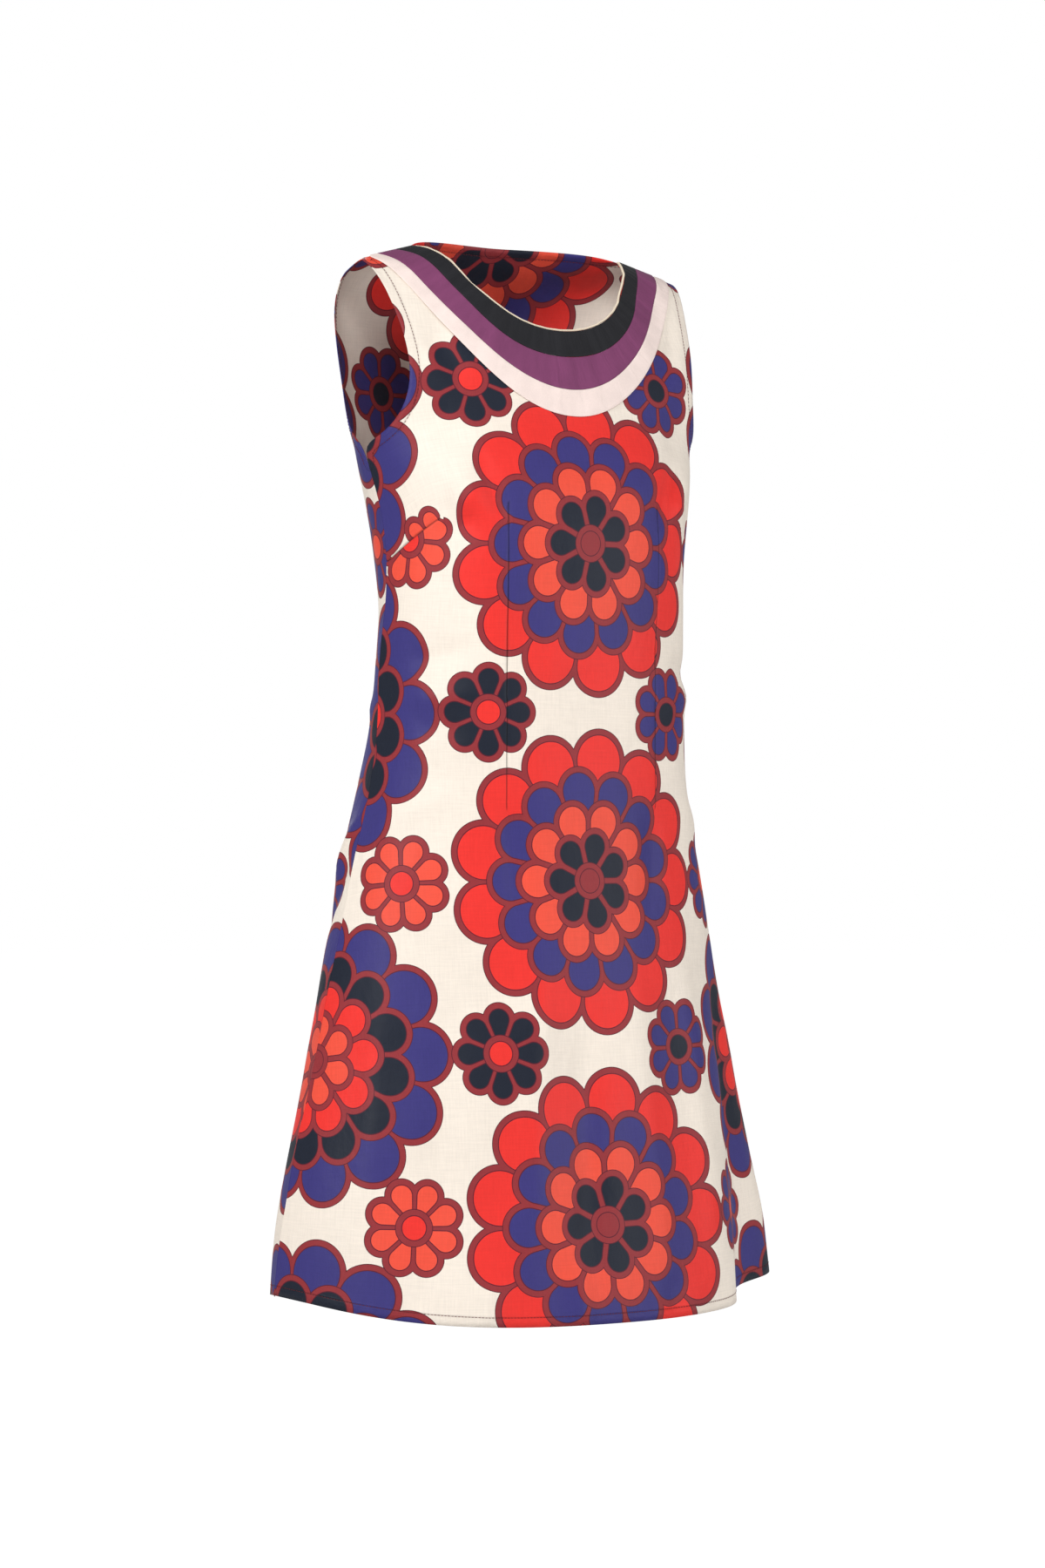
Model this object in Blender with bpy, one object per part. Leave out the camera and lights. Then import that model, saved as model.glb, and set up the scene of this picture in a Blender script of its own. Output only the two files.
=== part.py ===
"""Sleeveless A-line shift dress, kept in the hollow form it has when it is worn.

The cloth is a wall that follows a stack of level cross-sections. Each section is a rounded oval
with its own width, front depth, back depth and squareness, so that the bust, the fitted waist and
the flared skirt come from one short table. The front and back panels are cut out of that form by
the neckline, the armholes and the hem, and meet at the shoulder seams and the side seams. Three
shaped bands lie on the front around the neck, and a fine piping closes the neck edge.

Frame: metres, +Z up, the front faces -Y, +X is the wearer's left. The origin lies on the centre
plane, level with the two points where the shoulder seams reach the neck and 12 mm before them.
"""

import math

import bmesh
import bpy
import numpy as np

MM = 0.001

# Cloth
PANEL_WALL = 1.5 * MM
BAND_WALL = 1.0 * MM
PIPING_RADIUS = 1.3 * MM
GAP = 0.3 * MM

# Heights below the neck points, in millimetres
SHOULDER_DROP = 15.5
UNDERARM = 189.0
HEM_FRONT = 1006.0
HEM_SIDE = 979.0
HEM_BACK = 1002.0
HEM_CURVE = 3.4

# Half widths, in millimetres
NECK_POINT = 119.0
SHOULDER_TIP = 178.0

# The form: one row for each level. Lengths are millimetres: drop is below the neck points, half is
# the half width, front and back are the depths before and behind the middle plane, and seam is how
# far the side line lies towards the back. Squareness 2 is a true oval, more is boxier, less leaner.
SECTION_COLUMNS = ("drop", "half", "front", "back", "seam", "front_square", "back_square")
SECTIONS = (
    (-12, 200, 42, 50, 12, 1.30, 1.40),
    (0, 200, 40, 60, 12, 1.30, 1.60),
    (16, 200, 42, 74, 12, 1.45, 1.90),
    (30, 200, 38, 84, 12, 2.00, 2.35),
    (50, 200, 51, 94, 11, 2.25, 2.75),
    (75, 200, 60, 100, 10, 2.55, 2.65),
    (100, 200, 67, 104, 9, 2.85, 2.40),
    (130, 200, 78, 106, 8, 2.40, 2.05),
    (160, 200, 85, 106, 7, 2.10, 1.90),
    (176, 190, 90, 106, 6, 2.20, 1.95),
    (189, 179, 95, 105, 5, 2.45, 2.05),
    (205, 174, 100, 104, 3, 2.60, 2.15),
    (225, 169, 107, 102, 0, 2.50, 2.20),
    (250, 164, 111, 100, -4, 2.40, 2.20),
    (300, 160, 112, 94, -7, 2.35, 2.10),
    (345, 159, 110, 86, -3, 2.45, 1.95),
    (375, 160, 107, 81, 2, 2.55, 1.85),
    (420, 162, 106, 84, 4, 2.60, 1.95),
    (465, 164, 106, 92, 5, 2.55, 2.20),
    (510, 171, 107, 101, 5, 2.35, 2.35),
    (560, 184, 108, 110, 4, 2.15, 2.30),
    (620, 199, 112, 118, 4, 2.05, 2.15),
    (700, 216, 118, 128, 6, 2.00, 2.05),
    (780, 234, 126, 138, 9, 2.00, 2.00),
    (860, 252, 134, 148, 13, 2.00, 2.00),
    (940, 267, 143, 158, 17, 2.00, 2.00),
    (1010, 272, 150, 162, 20, 2.00, 2.00),
)

# Flare folds of the skirt: where each runs, in degrees from the centre front towards the wearer's
# left, how far it stands out at the hem (inwards if negative), its half width and where it starts.
FOLD_COLUMNS = ("angle", "height", "spread", "start")
FOLDS = (
    (72, -34, 8.5, 600),
    (86, 24, 8, 610),
    (52, 3, 11, 640),
    (-66, 4, 16, 700),
    (-114, -18, 17, 620),
    (122, -16, 13, 600),
    (148, 7, 13, 640),
    (-146, 8, 14, 620),
    (172, -11, 14, 660),
)
# The folds deepen towards the hem by this power of the way down.
FOLD_GROWTH = 1.4

# Lines across a panel, each from the centre line, where it is level, to its outer end. The two
# handles between, (centre_reach, centre_drop) and (side_reach, side_drop), shape the curve. Neck is
# the neck edge, the next three are the lower edges of the bands, and tip and underarm are the lines
# that leave the ends of the armhole.
EDGE_COLUMNS = ("centre_drop", "centre_reach", "side_reach", "side_drop", "end_x")
FRONT_EDGES = {
    "neck": (80, 90, 98, -4, 119),
    "black": (105, 104, 107, 2, 138),
    "purple": (137, 96, 145, 1, 158),
    "pale": (163, 95, 154, 23, 170),
    "tip": (173, 96, 159, 24, 178),
    "underarm": (250, 60, 119, 214, 179),
}
BACK_EDGES = {
    "neck": (-10, 70, 107, -10, 119),
    "yoke": (6, 70, 121, 4, 132),
    "tip": (50, 70, 148, 9, 178),
    "underarm": (235, 60, 119, 209, 179),
}

# Armhole edges, from the shoulder tip to the underarm: half width at each drop.
ARMHOLE_COLUMNS = ("drop", "front_x", "back_x")
ARMHOLE = (
    (15.5, 178, 178),
    (30, 174, 181),
    (50, 169.5, 180),
    (80, 165, 177.5),
    (108, 161.5, 175),
    (135, 160.5, 173),
    (160, 165, 172),
    (176, 174, 174.5),
    (184, 178, 177),
    (189, 179, 179),
)
# The turned armhole edge of the back is drawn in against the body.
BACK_CUP = 5.0

# The soft hollow of the front below each shoulder: its middle, its reach both ways, its depth, and
# how steeply it comes back to the seam.
HOLLOW = {"x": 125.0, "drop": 55.0, "wide": 26.0, "tall": 36.0, "depth": 6.0, "seam": 4.0}

# Grid of the panels
HALF_COLUMNS = 12
BAND_ROWS = 2
FRONT_SHOULDER_STEPS = (BAND_ROWS, BAND_ROWS, BAND_ROWS, 1)
BACK_SHOULDER_STEPS = (1, 4)
ARMHOLE_ROWS = 10
ARMHOLE_CLOSING = 1.3
SKIRT_ROWS = 36
CURVE_STEPS = 90

# Colours (linear) and roughness
PRINT_RED = (0.86, 0.055, 0.045, 1.0)
PRINT_BLUE = (0.068, 0.055, 0.28, 1.0)
BAND_BLACK = (0.017, 0.016, 0.016, 1.0)
BAND_PURPLE = (0.12, 0.032, 0.10, 1.0)
BAND_PALE = (0.87, 0.73, 0.67, 1.0)
PIPING_CREAM = (0.88, 0.82, 0.72, 1.0)
CLOTH_ROUGHNESS = 0.72
SATIN_ROUGHNESS = 0.5


# ---------------------------------------------------------------- the form


def column_reader(rows, names):
    """A function that reads every named column at a drop, as smooth curves through the rows."""
    data = np.array(rows, float)
    drops, values = data[:, 0], data[:, 1:]
    slopes = np.gradient(values, drops, axis=0)

    def read(drop):
        drop = np.clip(np.asarray(drop, float), drops[0], drops[-1])
        k = np.clip(np.searchsorted(drops, drop) - 1, 0, len(drops) - 2)
        span = drops[k + 1] - drops[k]
        t = ((drop - drops[k]) / span)[..., None]
        span = span[..., None]
        start = (1 + 2 * t) * (1 - t) ** 2 * values[k] + t * (1 - t) ** 2 * span * slopes[k]
        end = t * t * (3 - 2 * t) * values[k + 1] - t * t * (1 - t) * span * slopes[k + 1]
        return dict(zip(names[1:], np.moveaxis(start + end, -1, 0)))

    return read


read_section = column_reader(SECTIONS, SECTION_COLUMNS)
read_armhole = column_reader(ARMHOLE, ARMHOLE_COLUMNS)


def half_width(drop, section):
    """Half width at a drop: down to the shoulder tip it is limited by the sloping shoulder seam."""
    slope = (SHOULDER_TIP - NECK_POINT) / SHOULDER_DROP
    return np.minimum(section["half"], NECK_POINT + slope * np.maximum(drop, 0))


def turn_of_x(x, drop, square):
    """How far round the section a half width lies: 0 at the centre, a right angle at the seam."""
    section = read_section(drop)
    share = np.clip(x / half_width(drop, section), 0, 1)
    return np.arcsin(share ** (section[square] / 2))


def fold_height(x, y, drop):
    """How far the flare folds push the cloth out, in millimetres."""
    angle = np.degrees(np.arctan2(x, -y))
    total = np.zeros_like(angle)
    for row in FOLDS:
        fold = dict(zip(FOLD_COLUMNS, row))
        down = np.clip((drop - fold["start"]) / (HEM_FRONT - fold["start"]), 0, 1)
        away = (angle - fold["angle"] + 180) % 360 - 180
        total += fold["height"] * down ** FOLD_GROWTH * np.exp(-((away / fold["spread"]) ** 2))
    return total


def hollow_depth(x, drop, deep):
    """How far the front sinks back below the shoulder. The seam itself stays where it is."""
    across = (np.abs(x) - HOLLOW["x"]) / HOLLOW["wide"]
    down = (drop - HOLLOW["drop"]) / HOLLOW["tall"]
    near_seam = np.minimum(1, HOLLOW["seam"] * deep)
    return HOLLOW["depth"] * near_seam * np.exp(-(across ** 2) - down ** 2)


def surface(turn, drop, side, face):
    """Points of the outer cloth, in metres. side is +1 or -1, face is 'front' or 'back'."""
    section = read_section(drop)
    square = section[face + "_square"]
    x = side * half_width(drop, section) * np.sin(turn) ** (2 / square)
    deep = np.cos(turn) ** (2 / square)
    if face == "front":
        y = section["seam"] - (section["front"] + section["seam"]) * deep
        y += hollow_depth(x, drop, deep)
    else:
        y = section["seam"] + (section["back"] - section["seam"]) * deep
    push = fold_height(x, y, drop) / np.maximum(np.hypot(x, y), 1)
    return np.stack([x * (1 + push), y * (1 + push), -drop], axis=-1) * MM


def hem_drop(turn, face):
    """The hem hangs level across the middle and lifts towards the sides, where the skirt flares."""
    centre = HEM_FRONT if face == "front" else HEM_BACK
    return centre - (centre - HEM_SIDE) * np.sin(turn) ** HEM_CURVE


# ---------------------------------------------------------------- rows of a panel


def handles_of(values, end_drop=None):
    """The handles, (x, drop), of an edge. Unless end_drop is given, it ends on the shoulder seam."""
    edge = dict(zip(EDGE_COLUMNS, values))
    if end_drop is None:
        share = (edge["end_x"] - NECK_POINT) / (SHOULDER_TIP - NECK_POINT)
        end_drop = share * SHOULDER_DROP
    return np.array([
        (0, edge["centre_drop"]),
        (edge["centre_reach"], edge["centre_drop"]),
        (edge["side_reach"], edge["side_drop"]),
        (edge["end_x"], end_drop),
    ], float)


def row_curve(handles, face, meets_seam):
    """A row as (turn, drop), along the curve that the handles shape."""
    t = np.linspace(0, 1, CURVE_STEPS)[:, None]
    weights = ((1 - t) ** 3, 3 * t * (1 - t) ** 2, 3 * t * t * (1 - t), t ** 3)
    x, drop = sum(weight * handle for weight, handle in zip(weights, handles)).T
    turn = turn_of_x(x, drop, face + "_square")
    if meets_seam:
        turn[-1] = math.pi / 2
    return turn, drop


def length_along(points):
    """The length of a line up to each of its points."""
    steps = np.linalg.norm(np.diff(points, axis=0), axis=1)
    return np.concatenate([[0], np.cumsum(steps)])


def evenly(points, count):
    """The same line as count + 1 points an even distance apart."""
    along = length_along(points)
    at = np.linspace(0, along[-1], count + 1)
    return np.stack([np.interp(at, along, points[:, k]) for k in range(3)], axis=-1)


def shoulder_rows(edges, steps, face):
    """Rows that end on the shoulder seam: the edges, each with its steps to the next one."""
    curves = []
    for start, end, count in zip(edges, edges[1:], steps):
        for step in range(count):
            share = step / count
            handles = (1 - share) * handles_of(start) + share * handles_of(end)
            curves.append(row_curve(handles, face, True))
    return curves


def armhole_drops(face):
    """Drops where the rows meet the armhole edge, closer together near the shoulder tip."""
    drop = np.linspace(SHOULDER_DROP, UNDERARM, CURVE_STEPS)
    turn = turn_of_x(read_armhole(drop)[face + "_x"], drop, face + "_square")
    turn[[0, -1]] = math.pi / 2
    along = length_along(surface(turn, drop, 1, face))
    shares = np.linspace(0, 1, ARMHOLE_ROWS + 1) ** ARMHOLE_CLOSING
    return np.interp(shares * along[-1], along, drop)


def armhole_rows(tip, underarm, face):
    """Rows that end on the armhole edge, from the shoulder tip to the underarm."""
    first, last = handles_of(tip), handles_of(underarm, UNDERARM)
    curves = []
    for step, end_drop in enumerate(armhole_drops(face)):
        share = step / ARMHOLE_ROWS
        handles = (1 - share) * first + share * last
        handles[3] = (read_armhole(end_drop)[face + "_x"], end_drop)
        curves.append(row_curve(handles, face, step in (0, ARMHOLE_ROWS)))
    return curves


def side_rows(underarm_row, face):
    """Rows that end on the side seam, from the one below the underarm to the hem."""
    turn, drop = underarm_row
    climb = (drop[0] - drop) / (drop[0] - drop[-1])
    curves = []
    for step in range(1, SKIRT_ROWS + 1):
        share = step / SKIRT_ROWS
        centre = drop[0] + (hem_drop(0, face) - drop[0]) * share
        side = UNDERARM + (HEM_SIDE - UNDERARM) * share
        sloping = centre + (side - centre) * climb
        like_hem = centre + (side - centre) * np.sin(turn) ** HEM_CURVE
        curves.append((turn, (1 - share) * sloping + share * like_hem))
    return curves


def panel_grid(curves, face):
    """Outer points of a panel, rows by columns, from the wearer's right side to the left."""
    rows = []
    for turn, drop in curves:
        halves = [evenly(surface(turn, drop, side, face), HALF_COLUMNS) for side in (-1, 1)]
        rows.append(np.concatenate([halves[0][::-1], halves[1][1:]]))
    return np.array(rows)


def outward(grid, face, on_shoulder):
    """Unit directions in which each point's wall gets its thickness."""
    down = np.gradient(grid, axis=0)
    across = np.gradient(grid, axis=1)
    normals = np.cross(across, down) if face == "back" else np.cross(down, across)
    normals /= np.linalg.norm(normals, axis=-1, keepdims=True)
    for column, side in ((0, -1), (-1, 1)):
        for row in range(len(grid)):
            if on_shoulder < row < on_shoulder + ARMHOLE_ROWS:
                continue
            along = down[row, column].copy()
            lift = np.array([0, 0, 1.0]) if row <= on_shoulder else np.array([side, 0, 0.0])
            along[1] = 0
            along /= np.linalg.norm(along)
            lift -= along * lift.dot(along)
            normals[row, column] = lift / np.linalg.norm(lift)
    return normals


def part_at_seams(grid, face, on_shoulder):
    """Draws the seam edges back by half a gap, so that the two panels never meet."""
    away = -0.5 * GAP if face == "front" else 0.5 * GAP
    for column in (0, -1):
        grid[: on_shoulder + 1, column, 1] += away
        grid[on_shoulder + ARMHOLE_ROWS:, column, 1] += away


# ---------------------------------------------------------------- objects


def material(name, colour, roughness):
    finish = bpy.data.materials.new(name)
    finish.use_nodes = True
    shader = finish.node_tree.nodes["Principled BSDF"]
    shader.inputs["Base Color"].default_value = colour
    shader.inputs["Roughness"].default_value = roughness
    shader.inputs["Metallic"].default_value = 0.0
    return finish


def add_object(name, data, collection, finish):
    obj = bpy.data.objects.new(name, data)
    collection.objects.link(obj)
    data.materials.append(finish)
    return obj


def cloth_wall(name, outer, inner, collection, finish):
    """A closed wall of cloth: a grid shaped to the outer points, pushed through to the inner ones."""
    rows, columns = outer.shape[:2]
    bm = bmesh.new()
    bmesh.ops.create_grid(bm, x_segments=columns - 1, y_segments=rows - 1, size=0.5)
    place = bm.verts.layers.int.new("place")
    for vertex in bm.verts:
        column = round((vertex.co.x + 0.5) * (columns - 1))
        row = round((0.5 - vertex.co.y) * (rows - 1))
        vertex[place] = row * columns + column
        vertex.co = outer[row, column]
    pushed = bmesh.ops.extrude_face_region(bm, geom=bm.faces[:])
    for vertex in pushed["geom"]:
        if isinstance(vertex, bmesh.types.BMVert):
            vertex.co = inner[divmod(vertex[place], columns)]
    bmesh.ops.recalc_face_normals(bm, faces=bm.faces[:])
    mesh = bpy.data.meshes.new(name)
    bm.to_mesh(mesh)
    bm.free()
    mesh.shade_smooth()
    mesh.set_sharp_from_angle(angle=math.radians(50))
    return add_object(name, mesh, collection, finish)


def build_panel(name, curves, face, on_shoulder, collection, finish):
    grid = panel_grid(curves, face)
    normals = outward(grid, face, on_shoulder)
    part_at_seams(grid, face, on_shoulder)
    if face == "back":
        edge = slice(on_shoulder + 1, on_shoulder + ARMHOLE_ROWS)
        for column in (0, -1):
            grid[edge, column] -= BACK_CUP * MM * normals[edge, column]
    cloth_wall(name, grid, grid - PANEL_WALL * normals, collection, finish)
    return grid, normals


def build_band(name, grid, normals, first, last, collection, finish):
    """One band of the neck yoke, on the front panel's own points, moved out."""
    rows = slice(first, last + 1)
    strip, lift = grid[rows].copy(), normals[rows]
    step = strip[-1] - strip[-2]
    strip[-1] -= step / np.linalg.norm(step, axis=-1, keepdims=True) * GAP
    inner = strip + GAP * lift
    return cloth_wall(name, inner + BAND_WALL * lift, inner, collection, finish)


def build_piping(name, grid, normals, collection, finish):
    """A fine round cord along the front neck edge, centred on the thickness of band and panel."""
    into_neck = grid[0] - grid[1]
    into_neck /= np.linalg.norm(into_neck, axis=-1, keepdims=True)
    middle = (GAP + BAND_WALL - PANEL_WALL) / 2
    centres = grid[0] + normals[0] * middle + into_neck * (PIPING_RADIUS + GAP)
    centres = evenly(centres, 4 * HALF_COLUMNS)
    for end, inner in ((0, 1), (-1, -2)):
        step = centres[inner] - centres[end]
        centres[end] += step / np.linalg.norm(step) * (PIPING_RADIUS + 2 * GAP)
    curve = bpy.data.curves.new(name, "CURVE")
    curve.dimensions = "3D"
    curve.bevel_depth = PIPING_RADIUS
    curve.bevel_resolution = 1
    curve.use_fill_caps = True
    spline = curve.splines.new("POLY")
    spline.points.add(len(centres) - 1)
    for point, centre in zip(spline.points, centres):
        point.co = (*centre, 1.0)
    return add_object(name, curve, collection, finish)


def panel_rows(edges, steps, face):
    """All rows of a panel from its neck edge to its hem, and how many end on the shoulder seam."""
    *above, underarm = edges
    upper = shoulder_rows(above, steps, face)
    armhole = armhole_rows(above[-1], underarm, face)
    return upper + armhole + side_rows(armhole[-1], face), len(upper)


def build_front(collection):
    curves, on_shoulder = panel_rows(list(FRONT_EDGES.values()), FRONT_SHOULDER_STEPS, "front")
    grid, normals = build_panel(
        "front_panel", curves, "front", on_shoulder, collection,
        material("printed_cloth_front", PRINT_RED, CLOTH_ROUGHNESS),
    )
    bands = (("black", BAND_BLACK), ("purple", BAND_PURPLE), ("pale", BAND_PALE))
    for order, (name, colour) in enumerate(bands):
        build_band(
            "neck_band_" + name, grid, normals, order * BAND_ROWS, (order + 1) * BAND_ROWS,
            collection, material(name + "_band_cloth", colour, SATIN_ROUGHNESS),
        )
    build_piping(
        "neck_piping", grid, normals, collection,
        material("piping_thread", PIPING_CREAM, CLOTH_ROUGHNESS),
    )


def build_back(collection):
    curves, on_shoulder = panel_rows(list(BACK_EDGES.values()), BACK_SHOULDER_STEPS, "back")
    build_panel(
        "back_panel", curves, "back", on_shoulder, collection,
        material("printed_cloth_back", PRINT_BLUE, CLOTH_ROUGHNESS),
    )


def main():
    for obj in list(bpy.data.objects):
        bpy.data.objects.remove(obj)
    collection = bpy.data.collections.new("shift_dress")
    bpy.context.scene.collection.children.link(collection)
    build_front(collection)
    build_back(collection)


if __name__ == "__main__":
    main()
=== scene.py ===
"""Sleeveless A-line shift dress of printed cotton, worn by nobody.

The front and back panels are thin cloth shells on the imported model's panels. Each is cut along its darts, laid
flat for its print, and then given its creases. Three folded bands and a whipped cord finish the front neck, and
rows of small stitches hold the turned armholes, back neck and hem.
"""

import math

import bmesh
import bpy
from mathutils import Matrix, Vector
from mathutils.bvhtree import BVHTree
from mathutils.kdtree import KDTree
from mathutils.noise import noise as noise_at


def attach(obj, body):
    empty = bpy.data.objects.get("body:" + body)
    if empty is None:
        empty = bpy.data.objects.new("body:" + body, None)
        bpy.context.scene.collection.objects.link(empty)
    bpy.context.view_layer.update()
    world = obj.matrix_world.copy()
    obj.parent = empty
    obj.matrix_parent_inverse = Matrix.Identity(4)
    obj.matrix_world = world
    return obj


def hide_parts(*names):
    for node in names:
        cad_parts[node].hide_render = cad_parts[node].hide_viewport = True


bl_info = {
    "name": "Shift dress",
    "version": (1, 0, 0),
    "blender": (4, 5, 0),
    "location": "3D View > Sidebar > Dress",
    "description": "Makes a printed cotton shift dress with neck bands, darts and topstitching",
    "category": "Add Mesh",
}

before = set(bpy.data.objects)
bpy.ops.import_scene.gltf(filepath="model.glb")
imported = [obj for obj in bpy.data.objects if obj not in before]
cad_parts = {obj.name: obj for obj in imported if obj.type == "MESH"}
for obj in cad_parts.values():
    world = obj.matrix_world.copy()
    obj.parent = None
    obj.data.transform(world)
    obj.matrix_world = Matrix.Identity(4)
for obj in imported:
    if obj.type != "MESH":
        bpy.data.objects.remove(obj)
MILLIMETRE = 0.001
FRONT = "front_panel"
BACK = "back_panel"

# Darts: both ends as (x, y, z) on the wearer's left in metres, and the depth of the sewn valley.
FRONT_DARTS = (
    ((0.0850, -0.101, -0.243), (0.0850, -0.097, -0.533), 0.0014),
    ((0.1600, -0.008, -0.299), (0.1402, -0.068, -0.261), 0.0014),
)
BACK_DARTS = (((0.0850, 0.090, -0.235), (0.0850, 0.098, -0.520), 0.0014),)
DART_REACH = 0.045
DART_VALLEY = 0.0012

# Creases on the laid-out cut: from one end to the other in millimetres across and up, then the half width and how
# far the cloth stands out (or sinks, below 0). The wearer's left is on the right of the cut.
CREASE_COLUMNS = ("u0", "v0", "u1", "v1", "wide", "deep")
FRONT_CREASES = (
    # from the armholes down to the tops of the long darts
    (-114, -192, -88, -266, 8, -4.5),
    (-142, -204, -111, -264, 11, 3.7),
    (-156, -236, -118, -280, 10, -3.5),
    (-150, -140, -116, -196, 13, -3.3),
    (-142, -60, -106, -140, 13, -3.0),
    (120, -190, 91, -262, 10, -3.9),
    (146, -200, 114, -258, 12, 3.0),
    (142, -128, 112, -190, 13, -3.1),
    (138, -48, 108, -126, 14, -2.4),
    # from the points of the bust darts
    (-150, -255, -100, -221, 7, 2.6),
    (-158, -272, -112, -250, 8, -2.3),
    (152, -258, 104, -226, 8, 2.4),
    # across the waist
    (-190, -396, -112, -378, 11, -3.5),
    (-184, -428, -104, -420, 10, 2.6),
    (-176, -452, -120, -456, 11, -2.3),
    (-72, -418, 16, -408, 13, -2.1),
    (108, -386, 184, -404, 11, -3.3),
    (100, -430, 178, -420, 10, 2.4),
    # from the points of the long darts over the hips
    (-86, -520, -74, -640, 13, -3.3),
    (86, -526, 76, -632, 14, -3.1),
    (-232, -548, -124, -508, 14, 3.3),
    (118, -522, 232, -556, 14, 3.1),
    # down the skirt
    (-58, -640, -84, -975, 21, 6.0),
    (-12, -700, -20, -985, 18, -4.9),
    (48, -660, 60, -992, 20, 4.2),
    (120, -640, 140, -990, 18, 5.2),
    (-150, -680, -178, -985, 19, -4.9),
    (-205, -640, -244, -960, 17, 3.9),
    (200, -650, 240, -970, 17, -4.2),
    # ripples in the hem
    (-34, -948, -32, -1006, 11, 4.2),
    (66, -962, 70, -1006, 10, -3.1),
    (-118, -960, -122, -1004, 10, 2.8),
)
BACK_CREASES = (
    # from the armholes down over the shoulder blades
    (-142, -120, -98, -208, 13, -3.3),
    (150, -132, 100, -214, 13, -3.1),
    (-120, -176, -84, -250, 11, 2.6),
    (122, -182, 88, -256, 10, 2.4),
    # across the waist, where the back hangs loose
    (-182, -384, -94, -400, 11, -3.7),
    (-96, -426, 36, -418, 13, 2.6),
    (24, -392, 116, -406, 12, -3.1),
    (104, -440, 184, -422, 10, 2.6),
    (-176, -446, -108, -452, 11, -2.4),
    # from the side seams over the seat
    (236, -492, 190, -596, 11, 4.0),
    (240, -546, 200, -650, 12, -4.2),
    (-234, -500, -192, -588, 12, 3.5),
    (-86, -512, -76, -640, 14, -3.1),
    (86, -506, 78, -622, 13, -3.3),
    # down the skirt
    (-104, -650, -128, -985, 19, 5.6),
    (-24, -640, -32, -980, 20, -4.5),
    (62, -650, 78, -985, 20, 5.2),
    (136, -680, 160, -975, 17, -4.5),
    (196, -660, 230, -960, 16, 3.5),
    # ripples in the hem
    (24, -955, 26, -1006, 11, 3.5),
    (-72, -962, -76, -1005, 10, -3.1),
)

# The print repeats in columns, each dropped by half a repeat from the one before it.
REPEAT_WIDE = 0.292
REPEAT_TALL = 0.316
# Where each motif's middle lies in the repeat: a large bloom, and a small one in each gap between three of them.
MOTIFS = {"bloom": (0.0, 0.035), "bud": (0.1033, 0.193), "other_bud": (-0.1033, 0.193)}
# Rings of petals, outermost first: motif, count (none is a disc), turn in parts of a petal, how far from the middle
# the base and the tip circles lie, their radii, and the two dyes that neighbouring columns take.
RING_COLUMNS = ("motif", "count", "turn", "base_at", "base_r", "tip_at", "tip_r", "dye", "other_dye")
RINGS = (
    ("bloom", 13, 0.0, 0.048, 0.0086, 0.1132, 0.0246, "red", "violet"),
    ("bloom", 13, 0.5, 0.038, 0.0062, 0.0846, 0.0174, "violet", "navy"),
    ("bloom", 10, 0.0, 0.027, 0.0052, 0.0576, 0.0148, "orange", "red"),
    ("bloom", 7, 0.5, 0.012, 0.0020, 0.0330, 0.0112, "navy", "orange"),
    ("bloom", 0, 0.0, 0.000, 0.0000, 0.0000, 0.0110, "maroon", "maroon"),
    ("bud", 8, 0.5, 0.012, 0.0024, 0.0312, 0.0094, "violet", "orange"),
    ("bud", 0, 0.0, 0.000, 0.0000, 0.0000, 0.0108, "navy", "red"),
    ("other_bud", 8, 0.0, 0.012, 0.0024, 0.0312, 0.0094, "navy", "violet"),
    ("other_bud", 0, 0.0, 0.000, 0.0000, 0.0000, 0.0108, "red", "orange"),
)
OUTLINE = 0.0050
HAIRLINE = 0.0008

# Two panels are sewn together where their edges lie this close.
SEWN_GAP = 0.001
SEAM_TURN = 0.003
SEAM_HOLD = 0.02
# Beyond this, the distance from an open edge no longer matters.
EDGE_REACH = 0.03
# Ripples to a metre, and how much deeper they are below the neck bands, over this height.
RIPPLE_SCALE = 15
RIPPLE_MORE = 1.8
BAND_FOOT = -0.17
BAND_FADE = 0.05
# Turned edges: how far the doubled cloth reaches past its stitches and fades, and half the stitched valley's width.
TURN_MORE = 0.0020
TURN_SOFT = 0.0008
VALLEY_HALF = 0.0011
PIPING_RADIUS = 0.0013
PIPING_SIDES = 6
PIPING_CORE = 0.00098
WHIP_THREAD = 0.00030
WHIP_SLANT = 0.5
# How much of the white sky's brightness lights the dress.
SKY = 0.34
FLOOR_SHARE = 0.7
# An open edge is a hem below this height, and a neck edge within this distance of the middle.
HEM_BELOW = -0.9
NECK_WITHIN = 0.08


def dye(red, green, blue):
    """A colour in 0 to 255 as Blender's linear red, green and blue."""
    return tuple(
        c / 12.92 if c <= 0.04045 else ((c + 0.055) / 1.055) ** 2.4
        for c in (red / 255, green / 255, blue / 255)
    )


def colour(name, about, value):
    return bpy.props.FloatVectorProperty(
        name=name, description=about, subtype="COLOR", size=3, min=0, max=1, default=value
    )


def length(name, about, value):
    return bpy.props.FloatProperty(name=name, description=about, unit="LENGTH", min=0, default=value)


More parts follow.
